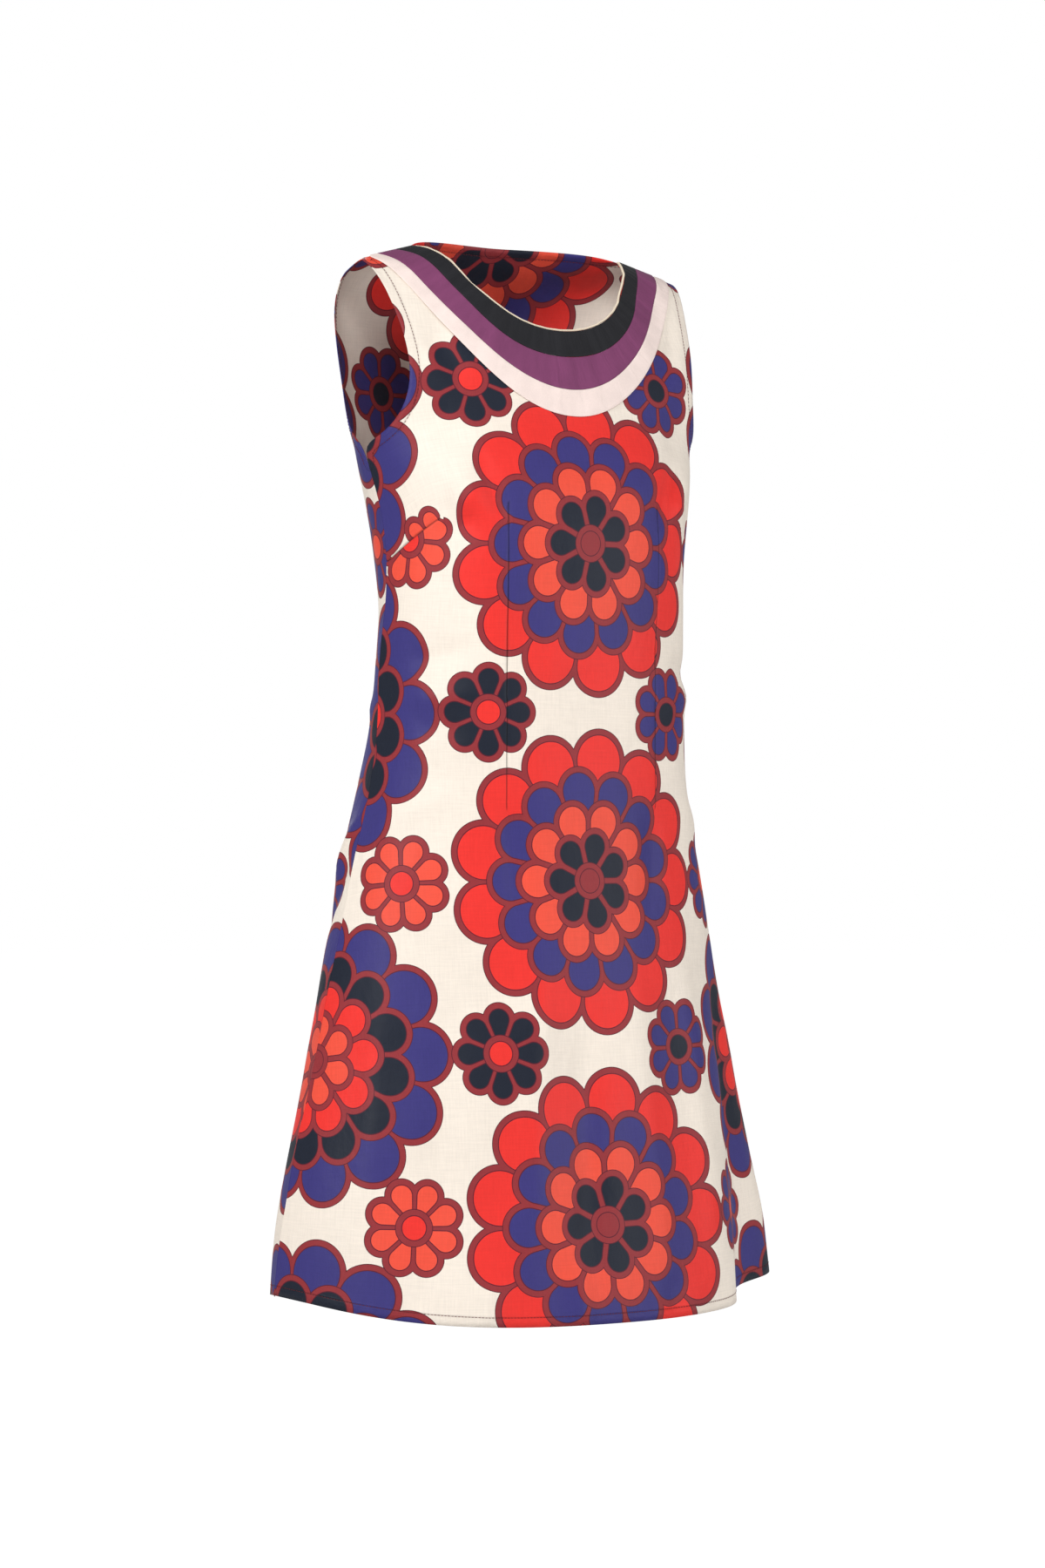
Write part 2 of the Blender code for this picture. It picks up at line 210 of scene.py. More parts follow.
class DressDyes(bpy.types.PropertyGroup):
    cream: colour("Ground", "Undyed ground of the printed cotton", dye(232, 221, 208))
    red: colour("Red", "Outer petals", dye(226, 48, 42))
    orange: colour("Orange red", "Second petals", dye(228, 78, 58))
    violet: colour("Violet", "Blue violet petals", dye(56, 51, 116))
    navy: colour("Navy", "Darkest petals", dye(24, 30, 44))
    maroon: colour("Maroon", "Broad outline round each petal", dye(141, 46, 51))
    line: colour("Hairline", "Thin dark edge of the outline", dye(84, 22, 38))
    black_band: colour("Black band", "Inner neck band", dye(29, 29, 33))
    purple_band: colour("Purple band", "Middle neck band", dye(121, 60, 99))
    pale_band: colour("Pale band", "Outer neck band", dye(234, 216, 209))
    piping: colour("Piping", "Whipped cord along the neck", dye(226, 212, 190))
    # The thread is its own dark red, made darker still as painted shade of the stitches sunk into the cloth.
    thread: colour("Thread", "Topstitching", dye(98, 24, 36))
    floor: colour("Floor", "Pale studio floor", dye(218, 218, 218))


class DressSizes(bpy.types.PropertyGroup):
    cloth: length("Cloth", "Thickness of the printed cotton", 0.0008)
    band: length("Band", "Thickness of a folded neck band", 0.0008)
    hem: length("Hem", "Height of the topstitching above the hem", 0.009)
    armhole: length("Armhole", "Distance of the topstitching from the armhole edge", 0.009)
    neck: length("Back neck", "Distance of the topstitching from the back neck edge", 0.0095)
    stitch: length("Stitch", "Length of one stitch", 0.0026)
    pitch: length("Pitch", "Distance from one stitch to the next", 0.0032)
    thread: length("Thread", "Thickness of the thread", 0.0006)
    ripple: length("Ripple", "Height of the cloth's faint unevenness", 0.0005)
    whip: length("Whip", "Distance between the stitches that whip the piping", 0.0017)
    levels: bpy.props.IntProperty(
        name="Smoothing", description="Times that the cloth is subdivided after it is laid flat", default=1, min=0, max=2
    )


# ---------------------------------------------------------------- cloth


def outward_sum(faces):
    """How far these faces look away from the upright axis of the dress, weighed by area."""
    total = 0.0
    for face in faces:
        centre = face.calc_center_median()
        total += face.calc_area() * face.normal.dot(Vector((centre.x, centre.y, 0)))
    return total


def islands(bm):
    """The separate groups of joined faces."""
    groups = []
    seen = set()
    for start in bm.faces:
        if start in seen:
            continue
        group = []
        waiting = [start]
        seen.add(start)
        while waiting:
            face = waiting.pop()
            group.append(face)
            for other in (f for e in face.edges for f in e.link_faces):
                if other not in seen:
                    seen.add(other)
                    waiting.append(other)
        groups.append(group)
    return groups


def diagonals(bm):
    """The edges that cut a grid's quads in two. Each triangle's edges follow one order round the whole grid."""
    first = min(bm.faces, key=lambda f: f.calc_center_median().z ** 2 + f.calc_center_median().x ** 2)
    found = set()
    seen = set()
    waiting = [(max(first.loops, key=lambda c: c.edge.calc_length()), 0)]
    while waiting:
        loop, kind = waiting.pop()
        if loop.face in seen:
            continue
        seen.add(loop.face)
        for step in range(3):
            if (kind + step) % 3 == 0:
                found.add(loop.edge)
            waiting.append((loop.link_loop_radial_next, (kind + step) % 3))
            loop = loop.link_loop_next
    return list(found)


def merged(node):
    """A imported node's mesh with its loose triangles joined."""
    bm = bmesh.new()
    bm.from_mesh(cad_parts[node].data)
    bmesh.ops.remove_doubles(bm, verts=bm.verts, dist=1e-5)
    return bm


def outer_layer(node):
    """The outer face of a packed cloth wall as a bmesh of quads."""
    bm = merged(node)
    turned = [e for e in bm.edges if all(len(v.link_edges) == 7 for v in e.verts)]
    bmesh.ops.rotate_edges(bm, edges=turned)
    rim = [f for f in bm.faces if min(e.calc_length() for e in f.edges) < 0.002]
    bmesh.ops.delete(bm, geom=rim, context="FACES")
    inner = min(islands(bm), key=outward_sum)
    bmesh.ops.delete(bm, geom=inner, context="FACES")
    bmesh.ops.dissolve_edges(bm, edges=diagonals(bm), use_verts=False)
    return bm


def mesh_object(name, bm):
    """A new object of this bmesh, which is freed."""
    mesh = bpy.data.meshes.new(name)
    bm.to_mesh(mesh)
    bm.free()
    obj = bpy.data.objects.new(name, mesh)
    bpy.context.collection.objects.link(obj)
    return obj


def smoothed(obj, levels):
    """Subdivides the object's mesh for good, with its corners kept."""
    modifier = obj.modifiers.new("Smooth cloth", "SUBSURF")
    modifier.levels = modifier.render_levels = levels
    modifier.boundary_smooth = "PRESERVE_CORNERS"
    modifier.uv_smooth = "PRESERVE_BOUNDARIES"
    fine = bpy.data.meshes.new_from_object(obj.evaluated_get(bpy.context.evaluated_depsgraph_get()))
    obj.modifiers.remove(modifier)
    obj.data = fine
    return obj


class Dart:
    """A straight dart in the cloth, from its open or upper end to its point."""

    def __init__(self, start, end, depth):
        self.start, self.depth = start, depth
        self.along = end - start
        self.across = None

    def place(self, point):
        """0 at the start and 1 at the point."""
        return (point - self.start).dot(self.along) / self.along.length_squared

    def faces(self, bm):
        """The faces that the dart runs through, and those beside them."""
        middles = ((f, f.calc_center_median()) for f in bm.faces)
        return [
            f
            for f, c in middles
            if -0.01 < self.place(c) < 1.01
            and (c - self.start).cross(self.along).length < DART_REACH * self.along.length
        ]

    def cut(self, bm, offset):
        """Cuts the cloth along the dart or beside it. Returns the edges and corners of the cut."""
        faces = self.faces(bm)
        edges = list({e for f in faces for e in f.edges})
        verts = list({v for f in faces for v in f.verts})
        plane = self.start + self.across * offset
        made = bmesh.ops.bisect_plane(
            bm, geom=verts + edges + faces, dist=1e-5, plane_co=plane, plane_no=self.across
        )
        return made["geom_cut"]

    def slit(self, bm):
        """Opens the seam for the flat cut."""
        outward = sum((f.normal for f in self.faces(bm)), Vector())
        self.across = self.along.cross(outward).normalized()
        sharp = bm.edges.layers.float["crease_edge"]
        for part in self.cut(bm, 0):
            if isinstance(part, bmesh.types.BMEdge):
                part.seam = True
                part[sharp] = 1.0

    def press(self, bm):
        """Sinks the sewn line between two cuts beside it, and notes where it runs, for the painted shade and seam
        line along it.
        """
        self.cut(bm, -DART_VALLEY)
        self.cut(bm, DART_VALLEY)
        layer = bm.verts.layers.float["dart"]
        line = {v for e in bm.edges if e.seam for v in e.verts if not v.is_boundary}
        bm.normal_update()
        for vert in line:
            place = self.place(vert.co)
            if 0 <= place <= 1 and abs((vert.co - self.start).dot(self.across)) < DART_VALLEY / 2:
                vert.co -= vert.normal * self.depth * math.sin(math.pi * (0.1 + 0.8 * place))
                vert[layer] = 1.0


def both_sides(rows):
    """The darts of these rows, on the wearer's right and left."""
    return [
        Dart(Vector(start) * Vector((side, 1, 1)), Vector(end) * Vector((side, 1, 1)), depth)
        for start, end, depth in rows
        for side in (-1, 1)
    ]


def sew_darts(obj, darts, work):
    """Does the named work on each dart."""
    bm = bmesh.new()
    bm.from_mesh(obj.data)
    for layers, name in ((bm.verts.layers.float, "dart"), (bm.edges.layers.float, "crease_edge")):
        if name not in layers:
            layers.new(name)
    for dart in darts:
        work(dart, bm)
    bm.to_mesh(obj.data)
    bm.free()
    return obj


def lay_flat(obj):
    """Unwraps the cloth to its cut in metres, upright, with the middle of the panel at u = 0 and v = z there."""
    bpy.context.view_layer.objects.active = obj
    obj.select_set(True)
    bpy.ops.object.mode_set(mode="EDIT")
    bpy.ops.mesh.select_all(action="SELECT")
    bpy.ops.uv.unwrap(method="MINIMUM_STRETCH")
    bpy.ops.object.mode_set(mode="OBJECT")
    obj.select_set(False)
    bm = bmesh.new()
    bm.from_mesh(obj.data)
    uv = bm.loops.layers.uv.active
    middle = [c for f in bm.faces for c in f.loops if abs(c.vert.co.x) < 1e-5]
    top = max(middle, key=lambda c: c.vert.co.z)
    low = min(middle, key=lambda c: c.vert.co.z)
    flat = sum(flat_area(f, uv) for f in bm.faces)
    scale = math.sqrt(sum(f.calc_area() for f in bm.faces) / abs(flat))
    up = (top[uv].uv - low[uv].uv).normalized()
    foot = low[uv].uv.copy()
    for face in bm.faces:
        for corner in face.loops:
            off = corner[uv].uv - foot
            across = (off.x * up.y - off.y * up.x) * scale
            corner[uv].uv = (across, off.dot(up) * scale + low.vert.co.z)
    bm.to_mesh(obj.data)
    bm.free()
    return obj


def flat_area(face, uv):
    """A face's area on the cut."""
    corners = [c[uv].uv for c in face.loops]
    return 0.5 * sum(a.cross(b) for a, b in zip(corners, corners[1:] + corners[:1]))


def cut_size(obj):
    """Width, length and area of the cut, with the panel's middle upright."""
    bm = bmesh.new()
    bm.from_mesh(obj.data)
    uv = bm.loops.layers.uv.active
    points = [c[uv].uv.copy() for f in bm.faces for c in f.loops]
    area = abs(sum(flat_area(f, uv) for f in bm.faces))
    bm.free()
    wide = max(p.x for p in points) - min(p.x for p in points)
    tall = max(p.y for p in points) - min(p.y for p in points)
    return wide, tall, area


def strip_size(obj):
    """Length and mean width of a band's bias strip, before it is curved round the neck."""
    bm = bmesh.new()
    bm.from_mesh(obj.data)
    edge = sum(e.calc_length() for e in bm.edges if e.is_boundary)
    area = sum(f.calc_area() for f in bm.faces)
    bm.free()
    half = edge / 4
    long_side = half + math.sqrt(half * half - area)
    return long_side, area / long_side


def crease_height(point, creases):
    """How far the creases move the cloth outwards at a point of the cut, in metres."""
    height = 0.0
    for row in creases:
        crease = dict(zip(CREASE_COLUMNS, row))
        start = Vector((crease["u0"], crease["v0"])) * MILLIMETRE
        run = Vector((crease["u1"], crease["v1"])) * MILLIMETRE - start
        place = (point - start).dot(run) / run.length_squared
        if not -0.3 < place < 1.3:
            continue
        off = (point - start).cross(run) / run.length / (crease["wide"] * MILLIMETRE)
        if abs(off) > 3:
            continue
        fade = math.exp(-((max(0.0, abs(place - 0.5) - 0.2) / 0.3) ** 2) * 2)
        height += crease["deep"] * MILLIMETRE * fade * math.exp(-off * off)
    return height


def surface_tree(obj):
    """A tree for the nearest point on an object's mesh."""
    mesh = obj.data
    return BVHTree.FromPolygons([v.co for v in mesh.vertices], [tuple(p.vertices) for p in mesh.polygons])


def crease_cloth(obj, facing, creases, ripple):
    """Moves the cloth along its normals by its creases, which die out at the seams, and by a faint unevenness."""
    bm = bmesh.new()
    bm.from_mesh(obj.data)
    bm.normal_update()
    uv = bm.loops.layers.uv.active
    moved = {}
    for vert in bm.verts:
        height = sum(crease_height(c[uv].uv, creases) for c in vert.link_loops) / len(vert.link_loops)
        height *= min(1.0, facing.find_nearest(vert.co)[3] / SEAM_HOLD)
        loose = min(1.0, max(0.0, (BAND_FOOT - vert.co.z) / BAND_FADE))
        height += ripple * (1 + RIPPLE_MORE * loose) * noise_at(vert.co * RIPPLE_SCALE)
        moved[vert] = vert.normal * height
    for vert, step in moved.items():
        vert.co += step
    bm.to_mesh(obj.data)
    bm.free()
    return obj


def chains(edges):
    """Runs of joined edges, each as its corners in order."""
    left = set(edges)
    runs = []
    while left:
        run = list(left.pop().verts)
        for _ in range(2):
            while step := next((e for e in run[-1].link_edges if e in left), None):
                left.discard(step)
                run.append(step.other_vert(run[-1]))
            run.reverse()
        runs.append(run)
    return runs


def walk(points, pitch):
    """Places at an even pitch along a run of points, each with the direction of the run there."""
    places = []
    reach = 0.0
    for start, end in zip(points, points[1:]):
        span = (end - start).length
        while reach < span:
            places.append((start.lerp(end, reach / span), (end - start) / span))
            reach += pitch
        reach -= span
    return places


def point_tree(points):
    tree = KDTree(len(points))
    for index, point in enumerate(points):
        tree.insert(point, index)
    tree.balance()
    return tree


def turn_seams(obj, facing):
    """Turns the sewn edges in towards the wearer, and notes how far the cloth lies from its open edges."""
    bm = bmesh.new()
    bm.from_mesh(obj.data)
    bm.normal_update()
    layer = bm.verts.layers.float.new("from_edge")
    rim = [e for e in bm.edges if e.is_boundary]
    sewn = [e for e in rim if facing.find_nearest((e.verts[0].co + e.verts[1].co) / 2)[3] < SEWN_GAP]
    open_runs = chains(set(rim) - set(sewn))
    tree = point_tree([p for run in open_runs for p, _ in walk([v.co for v in run], MILLIMETRE)])
    for vert in bm.verts:
        vert[layer] = min(EDGE_REACH, tree.find(vert.co)[2])
    for run in open_runs:
        for vert in run:
            vert[layer] = 0.0
    normals = {v: v.normal.copy() for e in sewn for v in e.verts}
    for edge in sewn:
        edge.smooth = False
    turned = bmesh.ops.extrude_edge_only(bm, edges=sewn)["geom"]
    for vert in (part for part in turned if isinstance(part, bmesh.types.BMVert)):
        source = min(normals, key=lambda v: (v.co - vert.co).length_squared)
        vert.co -= normals[source] * SEAM_TURN
        vert[layer] = EDGE_REACH
    bm.to_mesh(obj.data)
    bm.free()
    return obj


def open_runs(bm):
    """The runs of points along the cloth's open edges."""
    layer = bm.verts.layers.float["from_edge"]
    free = [e for e in bm.edges if e.is_boundary and all(v[layer] == 0 for v in e.verts)]
    return [[v.co.copy() for v in run] for run in chains(free)]


def template(bm):
    """This bmesh as a mesh that is copied many times."""
    mesh = bpy.data.meshes.new("template")
    bm.to_mesh(mesh)
    bm.free()
    return mesh


def copy_in(bm, mesh, matrix):
    """Adds a moved copy of a template."""
    moved = mesh.copy()
    moved.transform(matrix)
    bm.from_mesh(moved)
    bpy.data.meshes.remove(moved)


def sew_row(bm, tree, run, inset, lift, sizes):
    """Sews a row of stitches along a run of points, set in from it over the cloth and lifted off its outer face."""
    grain = bmesh.new()
    bmesh.ops.create_uvsphere(grain, u_segments=6, v_segments=4, radius=1)
    stitch = template(grain)
    places = walk(run, sizes.pitch)
    middle, along = places[len(places) // 2]
    aside = along.cross(tree.find_nearest(middle)[1]) * inset
    side = 1 if tree.find_nearest(middle + aside)[3] < tree.find_nearest(middle - aside)[3] else -1
    for place, along in places:
        target = place + along.cross(tree.find_nearest(place)[1]) * inset * side
        spot, normal, _, _ = tree.find_nearest(target)
        along = (along - normal * along.dot(normal)).normalized()
        turn = Matrix((along, normal.cross(along), normal)).transposed().to_4x4()
        thick = sizes.thread / 2
        size = Matrix.Diagonal((sizes.stitch / 2, thick, thick, 1))
        copy_in(bm, stitch, Matrix.Translation(spot + normal * lift) @ turn @ size)


def topstitching(panel, insets, sizes):
    """The rows of stitches on both faces of a panel, as one piece. Insets say how far each kind of edge is turned."""
    cloth = bmesh.new()
    cloth.from_mesh(panel.data)
    tree = BVHTree.FromBMesh(cloth)
    bm = bmesh.new()
    for run in open_runs(cloth):
        middle = run[len(run) // 2]
        kind = "hem" if middle.z < HEM_BELOW else "neck" if abs(middle.x) < NECK_WITHIN else "armhole"
        if kind in insets:
            for lift in (sizes.thread / 8, -sizes.cloth - sizes.thread / 8):
                sew_row(bm, tree, run, insets[kind], lift, sizes)
    cloth.free()
    return mesh_object(panel.name.replace("cloth", "topstitching"), bm)


def smooth_run(points, steps):
    """A smooth run through the points, with that many steps from each to the next."""
    ends = [2 * points[0] - points[1], *points, 2 * points[-1] - points[-2]]
    run = []
    for a, b, c, d in zip(ends, ends[1:], ends[2:], ends[3:]):
        for step in range(steps):
            t = step / steps
            bend = (2 * a - 5 * b + 4 * c - d) * t * t + (3 * b - a - 3 * c + d) * t**3
            run.append((2 * b + (c - a) * t + bend) / 2)
    return [*run, points[-1]]


def cord_middles(node):
    """The middles of a packed cord's rings, from one shoulder to the other."""
    bm = merged(node)
    corners = [v.co.copy() for v in bm.verts]
    bm.free()
    tree = point_tree(corners)
    middles = []
    for corner in corners:
        ring = [co for co, _, _ in tree.find_n(corner, PIPING_SIDES)]
        middle = sum(ring, Vector()) / len(ring)
        if all((middle - other).length > PIPING_RADIUS for other in middles):
            middles.append(middle)
    back = max(middle.y for middle in middles) + PIPING_RADIUS
    return sorted(middles, key=lambda middle: math.atan2(middle.x, back - middle.y))


def core_tube(run, radius):
    """A round cord along a run of points, as a mesh."""
    curve = bpy.data.curves.new("core", "CURVE")
    curve.dimensions = "3D"
    curve.bevel_depth = radius
    curve.bevel_resolution = 2
    curve.use_fill_caps = True
    spline = curve.splines.new("POLY")
    spline.points.add(len(run) - 1)
    for point, place in zip(spline.points, run):
        point.co = (*place, 1)
    obj = bpy.data.objects.new("core", curve)
    mesh = bpy.data.meshes.new_from_object(obj)
    bpy.data.objects.remove(obj)
    return mesh


def whip_loop(radius, thread):
    """One stitch that goes round the cord."""
    bm = bmesh.new()
    upright = Matrix.Translation((radius, 0, 0)) @ Matrix.Rotation(math.pi / 2, 4, "X")
    bmesh.ops.create_circle(bm, segments=5, radius=thread, matrix=upright)
    bmesh.ops.spin(
        bm, geom=bm.verts[:] + bm.edges[:], axis=(0, 0, 1), angle=math.tau, steps=12, use_merge=True
    )
    bmesh.ops.recalc_face_normals(bm, faces=bm.faces)
    return template(bm)


def thickness(obj, value):
    """Gives the cloth its wall, inwards from the outer face."""
    modifier = obj.modifiers.new("Cloth thickness", "SOLIDIFY")
    modifier.thickness = value
    modifier.offset = -1
    return obj


def shade_smooth(obj):
    obj.data.shade_smooth()
    return obj


def round_folds(obj, cloth):
    """Rounds the folded edges of a band."""
    modifier = obj.modifiers.new("Folded edge", "BEVEL")
    modifier.width = cloth * 0.4
    modifier.segments = 2
    modifier.limit_method = "ANGLE"
    modifier.angle_limit = math.radians(50)
    return obj


def note_strip(obj, neck_run):
    """Notes where each point of a band lies: metres along the neck edge, and across from it."""
    tree = point_tree([place for place, _ in walk(neck_run, MILLIMETRE)])
    layer = obj.data.attributes.new("strip", "FLOAT_VECTOR", "POINT")
    for vert, mark in zip(obj.data.vertices, layer.data):
        _, index, across = tree.find(vert.co)
        mark.vector = (index * MILLIMETRE, across, 0)
    return obj


def finish(obj, material, slot, *nodes):
    """Gives a piece its material and its place in the frame."""
    obj.data.materials.clear()
    obj.data.materials.append(material)
    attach(obj, "root")
    if nodes:
        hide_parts(*nodes)
    return obj


# ---------------------------------------------------------------- materials


def new_material(name):
    """A material with its node tree, its shader and its output."""
    material = bpy.data.materials.new(name)
    material.use_nodes = True
    return material, material.node_tree, material.node_tree.nodes["Principled BSDF"]


def plug(tree, socket, value):
    """Links a socket to the input, or sets the input to a number or colour."""
    if isinstance(value, bpy.types.NodeSocket):
        tree.links.new(value, socket)
    elif value is not None:
        socket.default_value = value


def calc(tree, operation, a, b=None, c=None):
    """One Math node."""
    node = tree.nodes.new("ShaderNodeMath")
    node.operation = operation
    for socket, value in zip(node.inputs, (a, b, c)):
        plug(tree, socket, value)
    return node.outputs[0]


def blend_colour(tree, factor, a, b, mode="MIX"):
    """One Mix node of two colours."""
    node = tree.nodes.new("ShaderNodeMix")
    node.data_type = "RGBA"
    node.blend_type = mode
    plug(tree, node.inputs[0], factor)
    plug(tree, node.inputs[6], a)
    plug(tree, node.inputs[7], b)
    return node.outputs[2]


def ramp(tree, factor, stops):
    """One Color Ramp node of (place, colour) stops. Returns its colour and its alpha."""
    node = tree.nodes.new("ShaderNodeValToRGB")
    marks = node.color_ramp.elements
    while len(marks) < len(stops):
        marks.new(0.5)
    for mark, (place, value) in zip(marks, stops):
        mark.position = place
        mark.color = value
    plug(tree, node.inputs[0], factor)
    return node.outputs[0], node.outputs[1]


def noise(tree, vector, scale, detail=2.0, rough=0.5):
    """One Noise node. Returns its value."""
    node = tree.nodes.new("ShaderNodeTexNoise")
    plug(tree, node.inputs["Vector"], vector)
    node.inputs["Scale"].default_value = scale
    node.inputs["Detail"].default_value = detail
    node.inputs["Roughness"].default_value = rough
    return node.outputs["Fac"]


def stretched(tree, vector, scale):
    """A Mapping node that scales the vector."""
    node = tree.nodes.new("ShaderNodeMapping")
    plug(tree, node.inputs["Vector"], vector)
    node.inputs["Scale"].default_value = scale
    return node.outputs["Vector"]


def coordinates(tree, kind):
    return tree.nodes.new("ShaderNodeTexCoord").outputs[kind]


def motif_centre(tree, across, up, motif):
    """Polar place round the nearest repeat of a motif, and whether its column is an odd one."""
    u0, v0 = MOTIFS[motif]
    columns = calc(tree, "DIVIDE", calc(tree, "SUBTRACT", across, u0), REPEAT_WIDE)
    column = calc(tree, "ROUND", columns)
    x = calc(tree, "MULTIPLY", calc(tree, "SUBTRACT", columns, column), REPEAT_WIDE)
    dropped = calc(tree, "MULTIPLY_ADD", column, REPEAT_TALL / 2, calc(tree, "SUBTRACT", up, v0))
    rows = calc(tree, "DIVIDE", dropped, REPEAT_TALL)
    y = calc(tree, "MULTIPLY", calc(tree, "SUBTRACT", rows, calc(tree, "ROUND", rows)), REPEAT_TALL)
    radius = calc(tree, "SQRT", calc(tree, "MULTIPLY_ADD", x, x, calc(tree, "MULTIPLY", y, y)))
    angle = calc(tree, "ARCTAN2", y, x)
    odd = calc(tree, "ABSOLUTE", calc(tree, "MODULO", column, 2.0))
    return radius, angle, odd


def petal_distance(tree, radius, angle, ring):
    """Distance to the nearest petal's inner edge: a round tip on two straight sides that narrow to the base."""
    if ring["count"] == 0:
        return calc(tree, "SUBTRACT", radius, ring["tip_r"])
    petals = calc(tree, "MULTIPLY_ADD", angle, ring["count"] / math.tau, ring["turn"])
    offset = calc(tree, "SUBTRACT", petals, calc(tree, "ROUND", petals))
    turn = calc(tree, "MULTIPLY", offset, math.tau / ring["count"])
    x = calc(tree, "ABSOLUTE", calc(tree, "MULTIPLY", radius, calc(tree, "SINE", turn)))
    y = calc(tree, "SUBTRACT", calc(tree, "MULTIPLY", radius, calc(tree, "COSINE", turn)), ring["base_at"])
    run = ring["tip_at"] - ring["base_at"]
    lean = (ring["base_r"] - ring["tip_r"]) / run
    upright = math.sqrt(1 - lean * lean)
    over = calc(tree, "SUBTRACT", y, run)
    tip = calc(tree, "SQRT", calc(tree, "MULTIPLY_ADD", x, x, calc(tree, "MULTIPLY", over, over)))
    tip = calc(tree, "SUBTRACT", tip, ring["tip_r"])
    side = calc(tree, "MULTIPLY_ADD", x, upright, calc(tree, "MULTIPLY_ADD", y, lean, -ring["base_r"]))
    high = calc(tree, "MULTIPLY_ADD", x, -lean, calc(tree, "MULTIPLY", y, upright))
    at_tip = calc(tree, "GREATER_THAN", high, upright * run)
    return calc(tree, "MULTIPLY_ADD", at_tip, calc(tree, "SUBTRACT", tip, side), side)


def print_colour(tree, across, up, dyes):
    """The flowered print on the cut: rings of petals in two colourings, each petal in a broad maroon outline."""
    places = {motif: motif_centre(tree, across, up, motif) for motif in MOTIFS}
    shade = (*dyes.cream, 1)
    line = (*dyes.line, 1)
    broad = (*dyes.maroon, 1)
    reach = OUTLINE + 2 * HAIRLINE
    for row in RINGS:
        ring = dict(zip(RING_COLUMNS, row))
        radius, angle, odd = places[ring["motif"]]
        distance = petal_distance(tree, radius, angle, ring)
        fill = blend_colour(
            tree, odd, (*getattr(dyes, ring["dye"]), 1), (*getattr(dyes, ring["other_dye"]), 1)
        )
        place = calc(tree, "DIVIDE", distance, reach)
        soft = 0.02
        hair = HAIRLINE / reach
        outline, _ = ramp(
            tree, place, ((0, line), (hair, line), (hair + soft, broad), (1 - hair, broad), (1 - hair + soft, line))
        )
        inside = calc(tree, "LESS_THAN", distance, 0.0)
        covered = calc(tree, "LESS_THAN", distance, reach)
        shade = blend_colour(tree, covered, shade, blend_colour(tree, inside, outline, fill))
    return shade


def weave_height(tree, cut, threads):
    """A plain weave on the cut, with that many threads to a millimetre."""
    node = tree.nodes.new("ShaderNodeSeparateXYZ")
    plug(tree, node.inputs[0], cut)
    turns = threads / MILLIMETRE * math.pi
    warp = calc(tree, "SINE", calc(tree, "MULTIPLY", node.outputs[0], turns))
    weft = calc(tree, "SINE", calc(tree, "MULTIPLY", node.outputs[1], turns))
    return calc(tree, "MULTIPLY", warp, weft)


def attribute(tree, name):
    """Reads one of the cloth's own notes. Returns it as a vector and as a number."""
    node = tree.nodes.new("ShaderNodeAttribute")
    node.attribute_name = name
    return node.outputs["Vector"], node.outputs["Fac"]


def grey(tree, value):
    """A number as a shade of grey."""
    node = tree.nodes.new("ShaderNodeCombineColor")
    for socket in node.inputs:
        plug(tree, socket, value)
    return node.outputs[0]


def relief(tree, shader, height):
    """Bumps a surface by a height in millimetres."""
    bump = tree.nodes.new("ShaderNodeBump")
    bump.inputs["Strength"].default_value = 1.0
    bump.inputs["Distance"].default_value = MILLIMETRE
    plug(tree, bump.inputs["Height"], height)
    plug(tree, shader.inputs["Normal"], bump.outputs["Normal"])


def turned_edge(tree, sizes):
    """Where the cloth is turned and doubled along its open edges, 0 to 1, and the valley that the stitches draw,
    which is bumped and also darkened as painted shade.
    """
    _, away = attribute(tree, "from_edge")
    doubled = calc(tree, "DIVIDE", calc(tree, "SUBTRACT", sizes.hem + TURN_MORE, away), TURN_SOFT)
    doubled = calc(tree, "MINIMUM", calc(tree, "MAXIMUM", doubled, 0.0), 1.0)
    off = calc(tree, "DIVIDE", calc(tree, "ABSOLUTE", calc(tree, "SUBTRACT", away, sizes.hem)), VALLEY_HALF)
    valley = calc(tree, "MAXIMUM", calc(tree, "SUBTRACT", 1.0, off), 0.0)
    return doubled, valley


